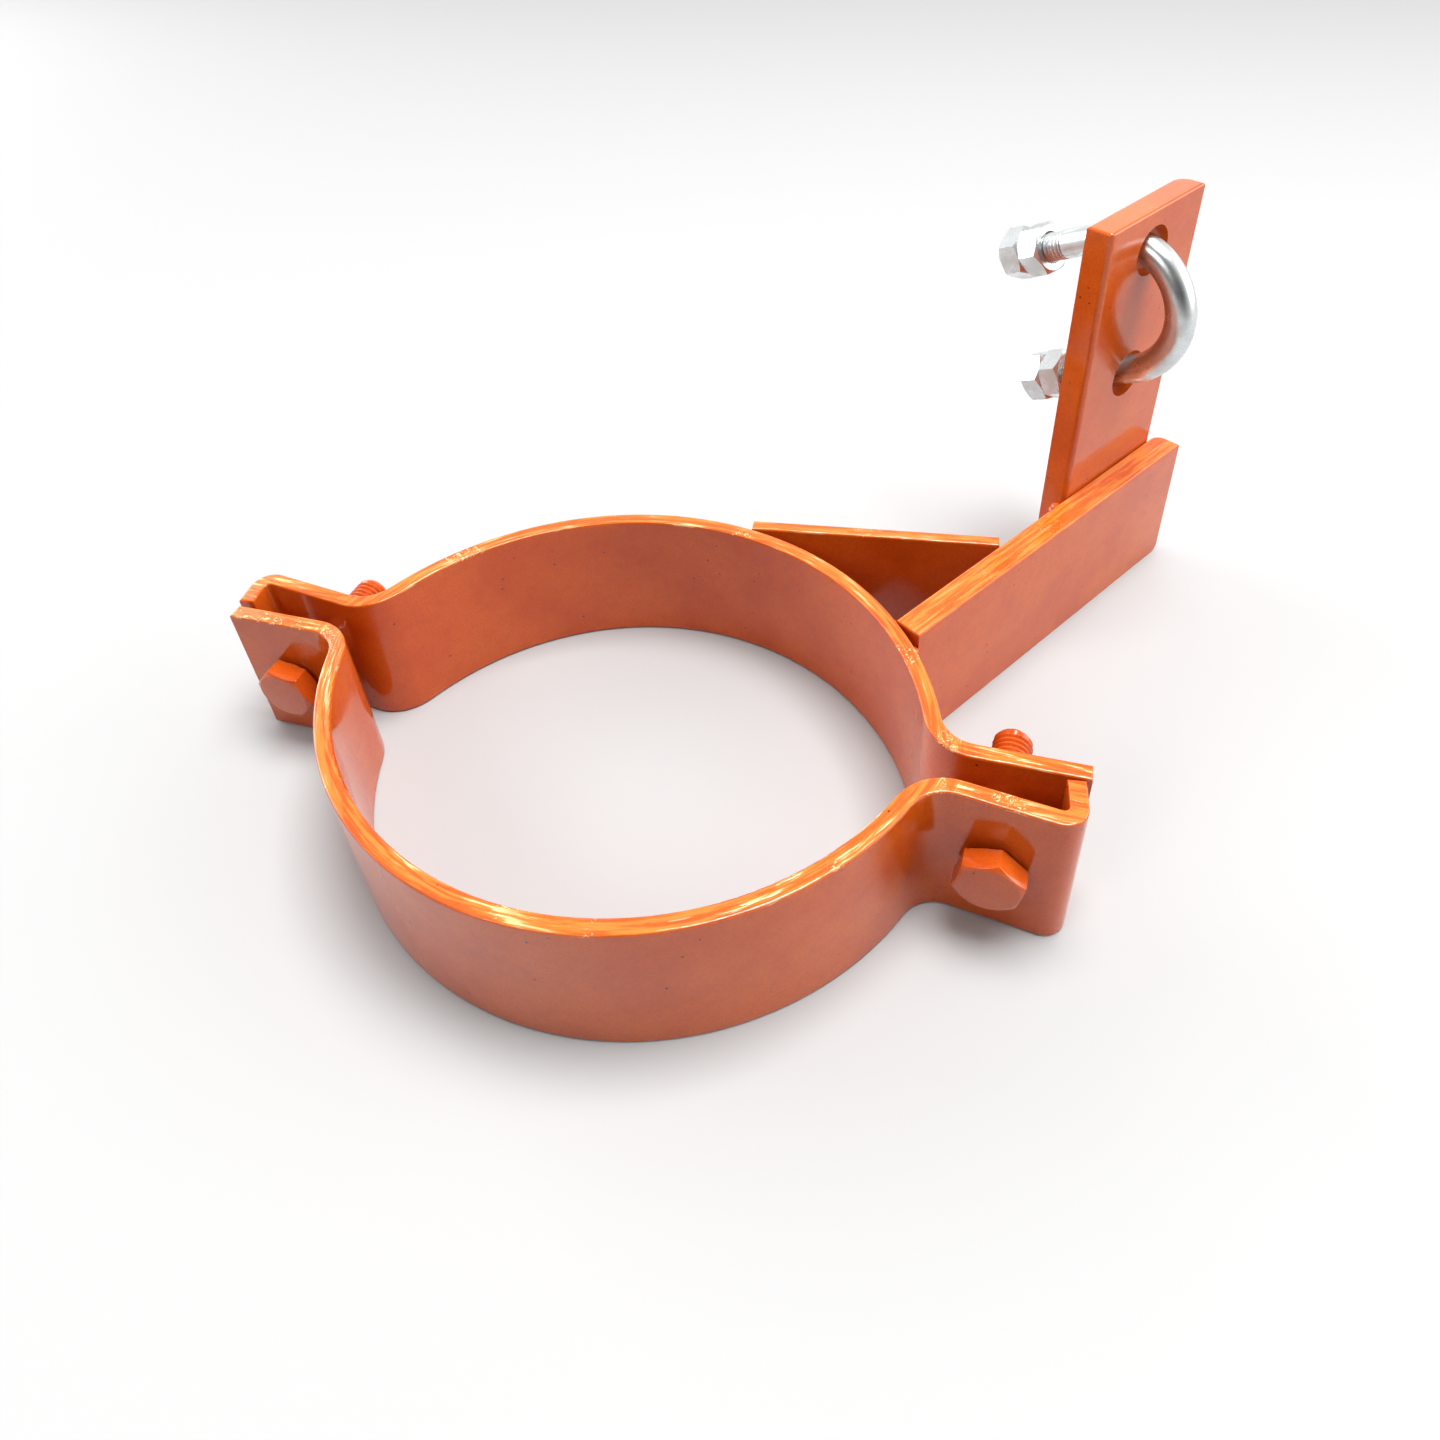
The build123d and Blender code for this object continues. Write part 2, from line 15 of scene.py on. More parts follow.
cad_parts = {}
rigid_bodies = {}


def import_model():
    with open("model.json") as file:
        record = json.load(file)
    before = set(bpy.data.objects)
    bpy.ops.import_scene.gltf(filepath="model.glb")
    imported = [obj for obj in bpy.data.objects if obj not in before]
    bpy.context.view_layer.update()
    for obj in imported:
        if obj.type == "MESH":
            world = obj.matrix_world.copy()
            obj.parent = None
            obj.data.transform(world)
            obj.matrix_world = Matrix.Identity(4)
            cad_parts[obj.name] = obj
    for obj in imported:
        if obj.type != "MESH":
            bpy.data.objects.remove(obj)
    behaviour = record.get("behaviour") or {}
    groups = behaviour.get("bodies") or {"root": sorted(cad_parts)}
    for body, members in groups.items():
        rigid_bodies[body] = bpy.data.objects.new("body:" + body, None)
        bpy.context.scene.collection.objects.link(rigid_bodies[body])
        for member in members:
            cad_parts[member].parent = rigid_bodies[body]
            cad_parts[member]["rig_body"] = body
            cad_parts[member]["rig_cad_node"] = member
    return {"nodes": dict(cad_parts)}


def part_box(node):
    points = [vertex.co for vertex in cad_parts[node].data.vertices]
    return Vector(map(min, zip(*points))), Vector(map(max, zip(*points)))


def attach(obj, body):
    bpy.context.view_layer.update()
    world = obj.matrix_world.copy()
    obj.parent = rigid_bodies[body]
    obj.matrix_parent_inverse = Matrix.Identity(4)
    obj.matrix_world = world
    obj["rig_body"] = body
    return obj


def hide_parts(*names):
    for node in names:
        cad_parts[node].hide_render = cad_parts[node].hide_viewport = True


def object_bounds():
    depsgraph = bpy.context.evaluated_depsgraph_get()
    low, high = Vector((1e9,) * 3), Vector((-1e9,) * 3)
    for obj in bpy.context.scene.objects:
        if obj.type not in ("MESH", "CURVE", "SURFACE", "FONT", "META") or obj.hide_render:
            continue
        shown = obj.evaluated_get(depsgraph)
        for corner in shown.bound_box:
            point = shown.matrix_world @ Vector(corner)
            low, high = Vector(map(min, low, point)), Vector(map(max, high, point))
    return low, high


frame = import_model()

cad_low, cad_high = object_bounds()
nodes = frame["nodes"]
print("CAD nodes:", len(nodes))
print("CAD box in mm:", [round(1000 * v, 1) for v in cad_low],
      [round(1000 * v, 1) for v in cad_high])

# %% [markdown]
# ## Camera
# The object is seen from above and slightly to the right of its front, from about a third
# of a metre, so the perspective is strong: the near ear looks much larger than the far plate.
# A fixed camera with a small lens shift keeps the framing without turning the view.

# %% Camera
camera_data = bpy.data.cameras.new("camera")
camera_data.sensor_width = 36.0
camera_data.lens = 27.30
camera_data.shift_x = -0.0239
camera_data.shift_y = -0.1608
camera_data.clip_start = 0.01
camera = bpy.data.objects.new("camera", camera_data)
camera.location = (0.11422, -0.19253, 0.28432)
camera.rotation_euler = [math.radians(a) for a in (52.887, 2.337, 18.131)]
bpy.context.scene.collection.objects.link(camera)
bpy.context.scene.camera = camera
print("camera at", [round(v, 3) for v in camera.location], "with a", camera_data.lens, "mm lens")

# %% [markdown]
# ## Colours and one node helper
# Paint colours are given as sRGB hex values. Shaders work in linear light, so one
# function converts them. A second function adds a shader node, sets its inputs and makes
# its links, which keeps each recipe below short enough to read from top to bottom.

# %% Colour and node helpers
def linear(hex_colour):
    """sRGB hex colour as linear red, green, blue and alpha."""
    channels = [int(hex_colour[i:i + 2], 16) / 255 for i in (1, 3, 5)]
    return [c / 12.92 if c <= 0.04045 else ((c + 0.055) / 1.055) ** 2.4 for c in channels] + [1.0]


def add(tree, kind, settings=None, **inputs):
    """Adds a node; an input is a value, or another node's output to link from."""
    node = tree.nodes.new(kind)
    for name, value in (settings or {}).items():
        setattr(node, name, value)
    for name, value in inputs.items():
        by_number = name[1:].isdigit()
        socket = node.inputs[int(name[1:]) if by_number else name.replace("_", " ")]
        if isinstance(value, bpy.types.NodeSocket):
            tree.links.new(value, socket)
        else:
            socket.default_value = value
    return node


def spread(tree, value, low, high, to_low=0.0, to_high=1.0):
    """Smooth step: value from low to high becomes to_low to to_high."""
    node = add(tree, "ShaderNodeMapRange", {"interpolation_type": "SMOOTHSTEP"},
               i0=value, i1=low, i2=high, i3=to_low, i4=to_high)
    return node.outputs[0]


def calc(tree, operation, a, b=0.0):
    """One step of arithmetic on two values."""
    return add(tree, "ShaderNodeMath", {"operation": operation}, i0=a, i1=b).outputs[0]


def times(tree, a, b):
    return calc(tree, "MULTIPLY", a, b)


def blend_colour(tree, factor, a, b):
    node = add(tree, "ShaderNodeMix", {"data_type": "RGBA"}, i0=factor, i6=a, i7=b)
    return node.outputs[2]


def per_mm(size_mm):
    """Noise scale whose features are about this many millimetres across."""
    return 1000.0 / size_mm


print("orange enamel is", [round(c, 3) for c in linear("#C45616")[:3]], "in linear light")

# %% [markdown]
# ## Gloss orange enamel
# The clamp is brush-dipped in gloss alkyd enamel over mill-finish steel. Enamel is a
# pigmented film with a clear, mirror-like skin: a dielectric of IOR about 1.5, roughness
# about 0.1. Up close it shows orange peel (soft waves 2 to 4 mm long), a slow drift in
# colour where the film is thick or thin, dust nibs as dark specks under half a
# millimetre, and wrinkles along the top edges. Light on the top is painted in as well:
# a paler orange streaked along the flat top face, and cream glints and flecks along the
# rounded, wrinkled edges. The same recipe serves strap, bar, weld and bolt, with how
# strong the edge glints and wrinkles are as its setting.

# %% Streaks that follow a strap or a bar
strap_middle_radius = 0.094
ear_begins, ear_is_straight = 0.094, 0.104
streak_width_mm = 1.1
streak_squeeze = 0.08


def streak_noise(tree, place):
    return add(tree, "ShaderNodeTexNoise", i2=per_mm(streak_width_mm), i3=3.0,
               Vector=place).outputs[0]


def along_strap(tree, place, bow_centre_y):
    """Noise drawn out along a bent strap: round the bow, and straight along its ears."""
    parts = add(tree, "ShaderNodeSeparateXYZ", i0=place).outputs
    x, y = parts["X"], parts["Y"]
    y_out = calc(tree, "SUBTRACT", y, bow_centre_y)
    turn = calc(tree, "ARCTAN2", y_out, x)
    arc = times(tree, turn, strap_middle_radius * streak_squeeze)
    radius = calc(tree, "SQRT", calc(tree, "ADD", times(tree, x, x), times(tree, y_out, y_out)))
    on_bow = add(tree, "ShaderNodeCombineXYZ", i0=arc, i1=radius, i2=parts["Z"])
    on_ear = add(tree, "ShaderNodeCombineXYZ", i0=times(tree, x, streak_squeeze), i1=y,
                 i2=parts["Z"])
    past_neck = spread(tree, calc(tree, "ABSOLUTE", x), ear_begins, ear_is_straight)
    both = add(tree, "ShaderNodeMix", {"data_type": "FLOAT"}, i0=past_neck,
               i2=streak_noise(tree, on_bow.outputs[0]),
               i3=streak_noise(tree, on_ear.outputs[0]))
    return both.outputs[0]


def along_bar(tree, place, bar_angle):
    """Noise drawn out along a straight bar that lies bar_angle degrees from +X."""
    turned = add(tree, "ShaderNodeMapping", {"vector_type": "TEXTURE"}, i0=place)
    turned.inputs["Rotation"].default_value = (0, 0, math.radians(bar_angle))
    parts = add(tree, "ShaderNodeSeparateXYZ", i0=turned.outputs[0]).outputs
    drawn = add(tree, "ShaderNodeCombineXYZ", i0=times(tree, parts["X"], streak_squeeze),
                i1=parts["Y"], i2=parts["Z"])
    return streak_noise(tree, drawn.outputs[0])


print("streaks in mm:", streak_width_mm, "wide,", round(streak_width_mm / streak_squeeze), "long")

# %% Enamel recipe
def enamel(name, edge_glint_and_wrinkle, top_height, peel=0.10, roughness=0.12,
           bow_centre_y=0.0, bar_angle=None):
    """Gloss orange enamel; the second setting is how strong the painted cream edge highlights and
    the wrinkle relief are.
    """
    material = bpy.data.materials.new(name)
    material.use_nodes = True
    tree = material.node_tree
    paint = tree.nodes["Principled BSDF"]
    place = add(tree, "ShaderNodeTexCoord").outputs["Object"]
    height = add(tree, "ShaderNodeSeparateXYZ", i0=place).outputs["Z"]
    # slow drift in film thickness, patches about 25 mm across
    drift = add(tree, "ShaderNodeTexNoise", i2=per_mm(25), i3=3.0, Vector=place).outputs[0]
    body = blend_colour(tree, spread(tree, drift, 0.35, 0.65), linear("#BA4A10"), linear("#C45616"))
    # fine grain under the gloss, about 0.8 mm across, and mottled patches of about 4 mm
    grain = add(tree, "ShaderNodeTexNoise", i2=per_mm(0.8), i3=2.0, Vector=place).outputs[0]
    body = blend_colour(tree, spread(tree, grain, 0.35, 0.70, 0.0, 0.30), body, linear("#983A0E"))
    mottle = add(tree, "ShaderNodeTexNoise", i2=per_mm(4), i3=4.0, Vector=place).outputs[0]
    body = blend_colour(tree, spread(tree, mottle, 0.45, 0.75, 0.0, 0.30), body, linear("#A84010"))
    # dust nibs: dark specks about 0.5 mm across, in loose groups
    nib_space = add(tree, "ShaderNodeTexVoronoi", i2=per_mm(5), Vector=place).outputs["Distance"]
    nib = spread(tree, nib_space, 0.045, 0.10, 1.0, 0.0)
    sparse = add(tree, "ShaderNodeTexNoise", i2=per_mm(16), Vector=place).outputs[0]
    nib = times(tree, nib, spread(tree, sparse, 0.46, 0.54))
    body = blend_colour(tree, times(tree, nib, 0.85), body, linear("#2E1006"))
    # the flat top edge: a painted highlight, paler orange laid on the top face in streaks that run
    # along the strap like brush lines
    on_top = spread(tree, height, top_height - 0.0004, top_height - 0.0001)
    if bar_angle is None:
        lines = along_strap(tree, place, bow_centre_y)
    else:
        lines = along_bar(tree, place, bar_angle)
    body = blend_colour(tree, times(tree, on_top, spread(tree, lines, 0.40, 0.60, 0.0, 0.5)),
                        body, linear("#D88434"))
    # painted highlight: cream glints along the rounded edges and cream flecks where they wrinkle,
    # in runs about 25 mm long; the same mask adds wrinkle relief and roughness
    runs = add(tree, "ShaderNodeTexNoise", i2=per_mm(24), i3=2.0, Vector=place).outputs[0]
    runs = spread(tree, runs, 0.44, 0.58)
    near_top = spread(tree, height, top_height - 0.0009, top_height - 0.0004)
    streaks = times(tree, near_top, spread(tree, lines, 0.58, 0.66))
    wrinkle_noise = add(tree, "ShaderNodeTexNoise", i2=per_mm(1.4), i3=4.0, i8=1.5,
                        Vector=place).outputs[0]
    clumps = add(tree, "ShaderNodeTexNoise", i2=per_mm(14), i3=1.0, Vector=place).outputs[0]
    flecks = times(tree, spread(tree, clumps, 0.58, 0.66), spread(tree, wrinkle_noise, 0.56, 0.62))
    flecks = times(tree, near_top, flecks)
    glint_and_wrinkle_mask = calc(tree, "MAXIMUM", times(tree, streaks, runs), flecks)
    glint_and_wrinkle_mask = times(tree, glint_and_wrinkle_mask, edge_glint_and_wrinkle)
    # the cream colour is a painted highlight, light caught on the rounded, wrinkled edges
    body = blend_colour(tree, glint_and_wrinkle_mask, body, linear("#F6D29A"))
    tree.links.new(body, paint.inputs["Base Color"])
    rough = add(tree, "ShaderNodeMix", {"data_type": "FLOAT"}, i0=glint_and_wrinkle_mask, i2=roughness, i3=0.35)
    tree.links.new(rough.outputs[0], paint.inputs["Roughness"])
    # orange peel, brush lines and wrinkles as relief
    waves = add(tree, "ShaderNodeTexNoise", i2=per_mm(2.8), i3=2.0, Vector=place).outputs[0]
    waves = add(tree, "ShaderNodeBump", i0=peel, i1=0.0003, Height=waves)
    ridges = calc(tree, "ADD", times(tree, on_top, lines), times(tree, glint_and_wrinkle_mask, wrinkle_noise))
    ridges = add(tree, "ShaderNodeBump", i0=0.45, i1=0.0004, Height=ridges, Normal=waves.outputs[0])
    tree.links.new(ridges.outputs[0], paint.inputs["Normal"])
    paint.inputs["IOR"].default_value = 1.52
    paint.inputs["Coat Weight"].default_value = 0.05
    paint.inputs["Coat Roughness"].default_value = 0.04
    return material


# each enamel's second setting is the strength of its painted cream edge highlights and wrinkles; a
# top 1 m up puts no painted top highlight on bolts and welds
strap_top, plate_top, top_out_of_reach = 0.0500, 0.1480, 1.0
rear_strap_enamel = enamel("gloss_orange_enamel_on_rear_strap", 0.50, strap_top,
                           bow_centre_y=-0.0182)
front_strap_enamel = enamel("gloss_orange_enamel_on_front_strap", 0.60, strap_top,
                            bow_centre_y=0.0182)
bar_enamel = enamel("gloss_orange_enamel_on_arm", 0.10, strap_top, peel=0.07, bar_angle=59.7)
brace_enamel = enamel("gloss_orange_enamel_on_brace", 0.30, strap_top, bar_angle=9.3)
plate_enamel = enamel("gloss_orange_enamel_on_plate", 0.15, plate_top, peel=0.07)
fastener_enamel = enamel("gloss_orange_enamel_on_bolt", 0.0, top_out_of_reach, peel=0.06)
weld_enamel = enamel("gloss_orange_enamel_on_weld", 0.0, top_out_of_reach, peel=0.20)
print("enamels:", [m.name for m in bpy.data.materials if "enamel" in m.name])

# %% [markdown]
# ## Bright zinc plate
# The U-bolt and its nuts are electroplated with bright zinc: a metal film a few
# micrometres thick on drawn wire. It mirrors its surroundings softly, with a faint fine
# grain and cloudy patches where the passivation is uneven.

# %% Zinc recipe
def bright_zinc(name, roughness):
    """Electroplated zinc: metallic 1, pale blue-grey, cloudy roughness."""
    material = bpy.data.materials.new(name)
    material.use_nodes = True
    tree = material.node_tree
    metal = tree.nodes["Principled BSDF"]
    place = add(tree, "ShaderNodeTexCoord").outputs["Object"]
    cloud = add(tree, "ShaderNodeTexNoise", i2=per_mm(6), i3=4.0, Vector=place).outputs[0]
    tint = blend_colour(tree, spread(tree, cloud, 0.35, 0.65), linear("#D4D8DA"), linear("#C3C6C4"))
    tree.links.new(tint, metal.inputs["Base Color"])
    cloudy = spread(tree, cloud, 0.3, 0.7, roughness, roughness + 0.10)
    tree.links.new(cloudy, metal.inputs["Roughness"])
    grain = add(tree, "ShaderNodeTexNoise", i2=per_mm(0.9), i3=3.0, Vector=place).outputs[0]
    grain = add(tree, "ShaderNodeBump", i0=0.08, i1=0.0001, Height=grain)
    tree.links.new(grain.outputs[0], metal.inputs["Normal"])
    metal.inputs["Metallic"].default_value = 1.0
    return material


rod_zinc = bright_zinc("bright_zinc_on_wire", 0.26)
nut_zinc = bright_zinc("bright_zinc_on_nut", 0.24)
print("zinc:", rod_zinc.name, nut_zinc.name)

# %% [markdown]
# ## Finishes on the CAD nodes
# The straps, bars, plate, ear nuts and leg nuts have their true shape already, so they
# keep their meshes and only take a finish.

# %% Dress the CAD nodes
finishes = {
    "rear_band": rear_strap_enamel, "front_band": front_strap_enamel, "brace_bar": brace_enamel,
    "arm_bar": bar_enamel, "u_bolt_plate": plate_enamel,
    "right_ear_nut": fastener_enamel, "left_ear_nut": fastener_enamel,
    "upper_leg_nut": nut_zinc, "upper_lock_nut": nut_zinc,
    "lower_leg_nut": nut_zinc, "lower_lock_nut": nut_zinc,
}
for name, finish in finishes.items():
    nodes[name].data.materials.clear()
    nodes[name].data.materials.append(finish)
print("dressed", len(finishes), "CAD nodes")

# %% [markdown]
# ## Small modelling helpers
# New pieces start from a primitive and are shaped in edit mode. Operators act on whatever
# is selected, so everything is deselected before each start.

# %% Modelling helpers
def nothing_selected():
    if bpy.context.mode != "OBJECT":
        bpy.ops.object.mode_set(mode="OBJECT")
    for other in bpy.data.objects:
        other.select_set(False)


def copy_of_node(node_name, piece_name):
    """A merged copy of a CAD node's mesh, active and selected."""
    nothing_selected()
    piece = nodes[node_name].copy()
    piece.data = nodes[node_name].data.copy()
    piece.name = piece_name
    piece.parent = None
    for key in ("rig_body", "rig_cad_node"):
        del piece[key]
    bpy.context.scene.collection.objects.link(piece)
    piece.select_set(True)
    bpy.context.view_layer.objects.active = piece
    bpy.ops.object.mode_set(mode="EDIT")
    bpy.ops.mesh.select_all(action="SELECT")
    bpy.ops.mesh.remove_doubles(threshold=0.00001)
    bpy.ops.object.mode_set(mode="OBJECT")
    return piece


def finish_piece(piece, body, material, angle=30):
    """Settles place and normals, shades by angle, and gives body, finish and slot."""
    nothing_selected()
    piece.select_set(True)
    bpy.context.view_layer.objects.active = piece
    bpy.ops.object.transform_apply(location=True, rotation=True, scale=True)
    bpy.ops.object.mode_set(mode="EDIT")
    bpy.ops.mesh.select_all(action="SELECT")
    bpy.ops.mesh.remove_doubles(threshold=0.000002)
    bpy.ops.mesh.normals_make_consistent(inside=False)
    bpy.ops.object.mode_set(mode="OBJECT")
    bpy.ops.object.shade_smooth_by_angle(angle=math.radians(angle))
    piece.data.materials.clear()
    piece.data.materials.append(material)
    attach(piece, body)
    return piece


def turned_piece(name, outline, origin, axis, sides=48):
    """Turns a list of (distance along axis, radius) points about an axis, both ends closed."""
    nothing_selected()
    axis = Vector(axis).normalized()
    across = axis.orthogonal().normalized()
    origin = Vector(origin)
    mesh = bpy.data.meshes.new(name)
    points = [origin + axis * along + across * radius for along, radius in outline]
    mesh.from_pydata(points, [(i, i + 1) for i in range(len(points) - 1)], [])
    piece = bpy.data.objects.new(name, mesh)
    bpy.context.scene.collection.objects.link(piece)
    piece.select_set(True)
    bpy.context.view_layer.objects.active = piece
    bpy.ops.object.mode_set(mode="EDIT")
    bpy.ops.mesh.select_all(action="SELECT")
    bpy.ops.mesh.spin(steps=sides, angle=2 * math.pi, center=origin, axis=axis)
    bpy.ops.mesh.select_all(action="SELECT")
    bpy.ops.mesh.remove_doubles(threshold=0.000002)
    bpy.ops.object.mode_set(mode="OBJECT")
    return piece


print("helpers ready")

# %% [markdown]
# ## Thread outline
# A rolled metric thread is a spiral ridge with 60 degree flanks. At this size a stack of
# ring-shaped ridges looks the same as the spiral, and it closes cleanly at both ends. Thick
# enamel fills the painted threads, so their ridges are shallower and rounder than the
# zinc ones.

# %% Thread outline
def thread_outline(start, end, radius, pitch, depth, tip=0.0012):
    """Ridges from start to end along the axis, with a chamfered tip, closed on the axis."""
    outline = [(start, 0.0), (start, radius - depth)]
    along = start + 0.25 * pitch
    while along + 0.75 * pitch < end - tip:
        outline += [(along, radius - depth),
                    (along + 0.30 * pitch, radius - 0.08 * depth),
                    (along + 0.42 * pitch, radius - 0.08 * depth),
                    (along + 0.74 * pitch, radius - depth)]
        along += pitch
    outline += [(end - tip, radius - 0.35 * depth), (end - 0.0004, radius - depth),
                (end, radius - 1.4 * depth), (end, 0.0)]
    return outline


print("points in a 10 mm run:", len(thread_outline(0, 0.010, 0.006, 0.00175, 0.0006)))

# %% [markdown]
# ## Clamping bolts
# Each hexagon-head bolt is cut from a copy of its CAD node, a little inside the nut, and
# its sharp edges are softened as paint would. The threaded tip that stands out behind the
# ear is turned from the thread outline and starts just inside the shank.

# %% Clamping bolts
bolt_radius, bolt_pitch, bolt_thread_depth = 0.006, 0.00175, 0.00075
bolt_height = 0.025
thread_run = 0.016
overlap = 0.0002
for side, shank_x in (("right", 0.111), ("left", -0.115)):
    low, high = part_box(side + "_ear_bolt")
    tip = high.y
    cut = tip - thread_run
    bolt = copy_of_node(side + "_ear_bolt", side + "_bolt_with_thread")
    bpy.ops.object.mode_set(mode="EDIT")
    bpy.ops.mesh.select_all(action="SELECT")
    bpy.ops.mesh.bisect(plane_co=(0, cut, 0), plane_no=(0, 1, 0), use_fill=True,
                        clear_outer=True)
    bpy.ops.mesh.select_all(action="SELECT")
    bpy.ops.mesh.dissolve_limited(angle_limit=math.radians(1))
    bpy.ops.object.mode_set(mode="OBJECT")
    softened = bolt.modifiers.new("paint_on_edges", "BEVEL")
    softened.width = 0.0004
    softened.segments = 3
    softened.limit_method = "ANGLE"
    softened.angle_limit = math.radians(22)
    bpy.ops.object.modifier_apply(modifier=softened.name)
    outline = thread_outline(cut - overlap, tip, bolt_radius, bolt_pitch, bolt_thread_depth)
    thread = turned_piece(side + "_thread", outline, (shank_x, 0.0, bolt_height), (0, 1, 0))
    finish_piece(thread, side + "_bolt", fastener_enamel, angle=45)
    finish_piece(bolt, side + "_bolt", fastener_enamel, angle=25)
    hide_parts(side + "_ear_bolt")
    print(side, "bolt: thread runs", round(1000 * (tip - cut), 1), "mm back from its tip")

# %% [markdown]
# ## U-bolt
# The U-bolt is drawn wire bent round a former, with a rolled thread on each leg. Its
# plane and leg lengths follow the CAD node. The smooth bow is a disc swept round by spin
# and drawn out along the legs, and each thread is turned about its own leg.

# %% U-bolt
lean = math.radians(1.5)
droop = math.radians(26.5)
arm_angle = math.radians(59.7)
along_arm = Vector((math.cos(arm_angle), math.sin(arm_angle), 0))
behind = Vector((-math.sin(arm_angle), math.cos(arm_angle), 0))
upright = Vector((0, 0, 1))
plate_across = along_arm * math.cos(lean) - upright * math.sin(lean)
plate_up = along_arm * math.sin(lean) + upright * math.cos(lean)
leg = behind * math.cos(droop) - plate_up * math.sin(droop)
leg_up = plate_across.cross(leg)
plate_station, plate_front, bow_height, bow_standoff = 0.186, 0.0375, 0.1118, 0.0082
bow_centre = (along_arm * plate_station - behind * plate_front + plate_up * bow_height
              + behind * bow_standoff)
rod_radius, bow_radius = 0.0048, 0.0224
leg_thread_radius, leg_pitch, leg_thread_depth = 0.00495, 0.0015, 0.00085
upper_leg, lower_leg, threaded = 0.0400, 0.0445, 0.0270

nothing_selected()
bpy.ops.mesh.primitive_circle_add(vertices=48, radius=rod_radius, fill_type="NOTHING")
bow = bpy.context.active_object
bow.name = "u_bolt_bow"
start = bow_centre + leg_up * bow_radius + leg * (upper_leg - threaded)
turn = Matrix((plate_across, leg_up, leg)).transposed().to_4x4()
bow.matrix_world = Matrix.Translation(start) @ turn
bpy.ops.object.transform_apply(location=True, rotation=True, scale=True)
bpy.ops.object.mode_set(mode="EDIT")
bpy.ops.mesh.select_all(action="SELECT")
bpy.ops.mesh.extrude_region_move(TRANSFORM_OT_translate={"value": -leg * (upper_leg - threaded)})
bpy.ops.mesh.spin(steps=72, angle=-math.pi, center=bow_centre, axis=plate_across)
bpy.ops.mesh.extrude_region_move(TRANSFORM_OT_translate={"value": leg * (lower_leg - threaded)})
bpy.ops.object.mode_set(mode="OBJECT")
bpy.ops.object.mode_set(mode="EDIT")
bpy.ops.mesh.select_all(action="SELECT")
bpy.ops.mesh.remove_doubles(threshold=0.000002)
bpy.ops.mesh.select_all(action="DESELECT")
bpy.ops.mesh.select_mode(type="EDGE")
bpy.ops.mesh.select_non_manifold(extend=False)
bpy.ops.mesh.edge_face_add()
bpy.ops.object.mode_set(mode="OBJECT")
finish_piece(bow, "rod", rod_zinc, angle=40)
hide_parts("u_bolt")
for name, length, side in (("upper", upper_leg, 1), ("lower", lower_leg, -1)):
    foot = bow_centre + leg_up * bow_radius * side
    outline = thread_outline(length - threaded - overlap, length, leg_thread_radius,
                             leg_pitch, leg_thread_depth)
    thread = turned_piece("u_bolt_" + name + "_thread", outline, foot, leg)
    finish_piece(thread, "rod", rod_zinc, angle=25)
low = Vector([min(v.co[i] for v in bow.data.vertices) for i in range(3)])
high = Vector([max(v.co[i] for v in bow.data.vertices) for i in range(3)])
print("bow box in mm:", [round(1000 * v, 1) for v in low], [round(1000 * v, 1) for v in high])

# %% [markdown]
# ## Weld beads
# A fillet weld laid by hand cools in overlapping ripples, each a few millimetres behind the
# last. Each bead is a row of flattened ripples sunk into its corner, a little uneven in
# size, and wandering slightly, as a hand does.

# %% Weld beads
def weld_bead(node_name, body, material):
    """A rippled bead that stands for a plain CAD bead, inside the same corner."""
    low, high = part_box(node_name)
    source = [v.co for v in nodes[node_name].data.vertices]
    middle = sum(source, Vector()) / len(source)
    height = high.z - low.z
    radius, step, flattened = 0.0021, 0.0017, 0.62
    nothing_selected()
    bpy.ops.mesh.primitive_uv_sphere_add(segments=20, ring_count=12, radius=radius,
                                         location=(0, 0, 0))
    ripple = bpy.context.active_object
    ripple.name = "ripple"
    bpy.ops.object.mode_set(mode="EDIT")
    bpy.ops.mesh.select_all(action="SELECT")
    bpy.ops.transform.resize(value=(1.0, 1.0, flattened))
    bpy.ops.object.mode_set(mode="OBJECT")
    bead_mesh = bmesh.new()
    count = int((height - 2 * radius * flattened) / step) + 1
    for i in range(count):
        z = low.z + radius * flattened + i * step
        share = (z - low.z) / height
        # the corner's middle line at this height, so that a leaning bead is followed
        end_z = high.z if share > 0.5 else low.z
        near = [p for p in source if abs(p.z - end_z) < 0.004]
        centre = sum(near, Vector()) / len(near) if near else middle
        wander = 0.00022 * math.sin(2.1 * i) + 0.00012 * math.sin(5.3 * i + 1.0)
        size = 1.0 + 0.07 * math.sin(1.7 * i + 0.6)
        copy = ripple.data.copy()
        copy.transform(Matrix.Translation((centre.x + wander, centre.y - wander, z))
                       @ Matrix.Scale(size, 4)
                       @ Matrix.Rotation(0.25 * math.sin(3.3 * i), 4, "X"))
        bead_mesh.from_mesh(copy)
        bpy.data.meshes.remove(copy)
    bead_mesh.to_mesh(ripple.data)
    bead_mesh.free()
    ripple.name = node_name + "_bead"
    finish_piece(ripple, body, material, angle=60)
    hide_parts(node_name)
    return count


for name in ("arm_outer_weld", "arm_inner_weld", "brace_foot_weld", "brace_tip_weld",
             "plate_near_weld", "plate_far_weld"):
    print(name, "has", weld_bead(name, "rear_weldment", weld_enamel), "ripples")

# %% [markdown]
# ## Floor
# A plain pale floor just under the lowest edge. Its middling albedo keeps the bounced
# light low, so that the faces turned to the viewer stay deep in colour.

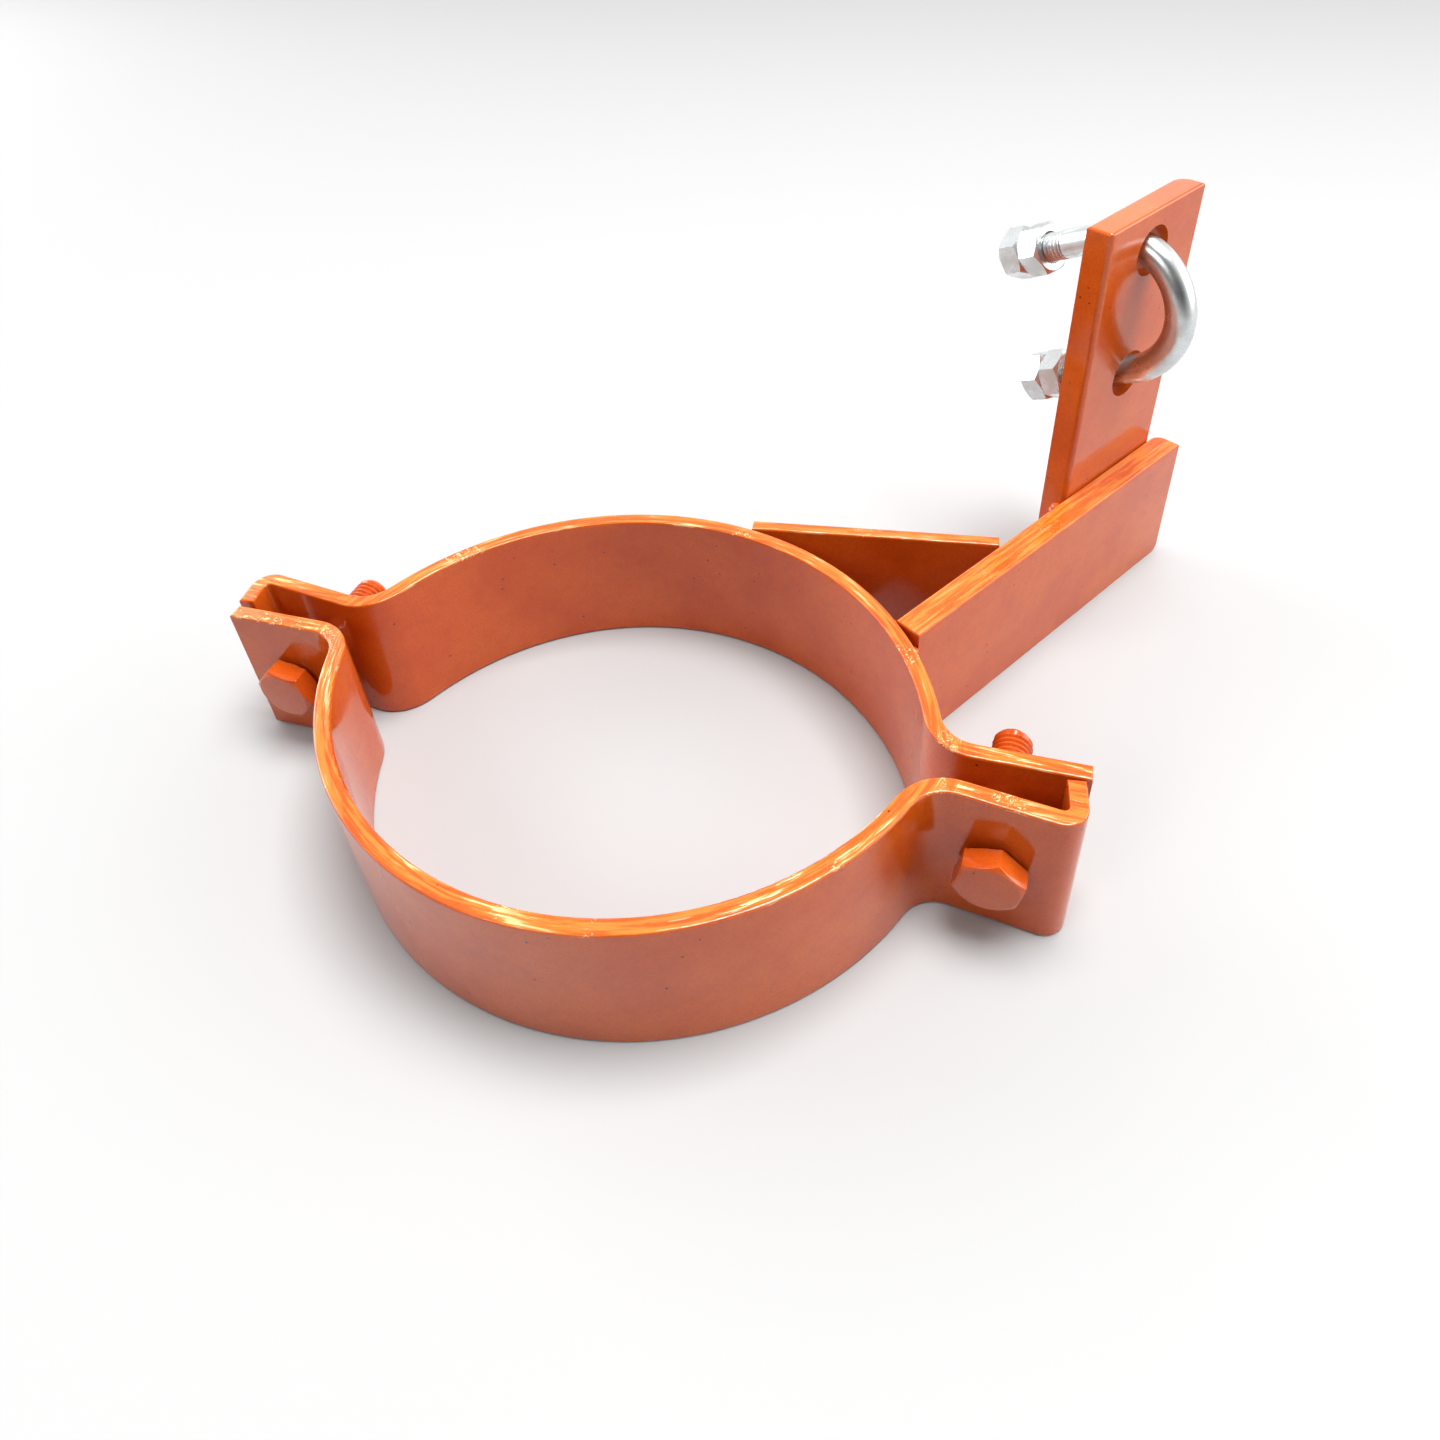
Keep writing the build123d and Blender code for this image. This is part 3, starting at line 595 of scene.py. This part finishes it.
# %% Floor
nothing_selected()
floor_z = cad_low[2] - 0.0003
bpy.ops.mesh.primitive_plane_add(size=6.0, location=(0, 0, floor_z))
floor = bpy.context.active_object
floor.name = "floor"
floor_finish = bpy.data.materials.new("pale_floor")
floor_finish.use_nodes = True
floor_surface = floor_finish.node_tree.nodes["Principled BSDF"]
floor_surface.inputs["Base Color"].default_value = linear("#A8A8A8")
floor_surface.inputs["Roughness"].default_value = 0.9
floor_surface.inputs["Specular IOR Level"].default_value = 0.1
floor.data.materials.append(floor_finish)
print("floor at", round(1000 * floor_z, 2), "mm")

# %% [markdown]
# ## Light
# A key light almost straight above lights every top edge strongly and rolls off quickly on
# the upright faces. A long low backdrop and a panel on each side open the arm and the
# plate, and a small card in front puts a glint on the zinc. The surrounding air is bright
# at the sides and back and dim in front, which keeps the faces turned to the viewer deep.

# %% Light
def soft_box(name, location, target, width, height, power):
    """A rectangular area light that looks at a target."""
    data = bpy.data.lights.new(name, "AREA")
    data.shape = "RECTANGLE"
    data.size = width
    data.size_y = height
    data.energy = power
    box = bpy.data.objects.new(name, data)
    box.location = location
    box.rotation_euler = (Vector(target) - Vector(location)).to_track_quat("-Z", "Y").to_euler()
    bpy.context.scene.collection.objects.link(box)
    return box


soft_box("key", (0.25, 0.15, 1.50), (0.05, 0.02, 0.0), 0.7, 0.7, 37.0)
soft_box("backdrop", (0.0, 1.6, 0.5), (0.0, 0.0, 0.3), 4.6, 0.8, 10.0)
soft_box("right_panel", (1.3, 0.35, 0.6), (0.1, 0.1, 0.08), 1.2, 1.0, 13.0)
soft_box("left_panel", (-1.4, 0.25, 0.6), (0.0, 0.05, 0.05), 1.2, 1.0, 20.0)
soft_box("front_card", (-0.30, -0.75, 0.75), (0.15, 0.15, 0.10), 0.35, 0.35, 2.5)
world = bpy.data.worlds.new("air")
world.use_nodes = True
air = world.node_tree
direction = add(air, "ShaderNodeTexCoord").outputs["Generated"]
way = add(air, "ShaderNodeSeparateXYZ", i0=direction).outputs
sides = calc(air, "ADD", times(air, calc(air, "ABSOLUTE", way["X"]), 1.3), way["Y"])
glow = spread(air, sides, -0.3, 0.9, 0.05, 0.75)
air.links.new(glow, air.nodes["Background"].inputs["Strength"])
air.nodes["Background"].inputs["Color"].default_value = linear("#FFFFFF")
bpy.context.scene.world = world
bpy.context.scene.view_settings.view_transform = "Standard"

# %% Finish
bpy.context.view_layer.update()
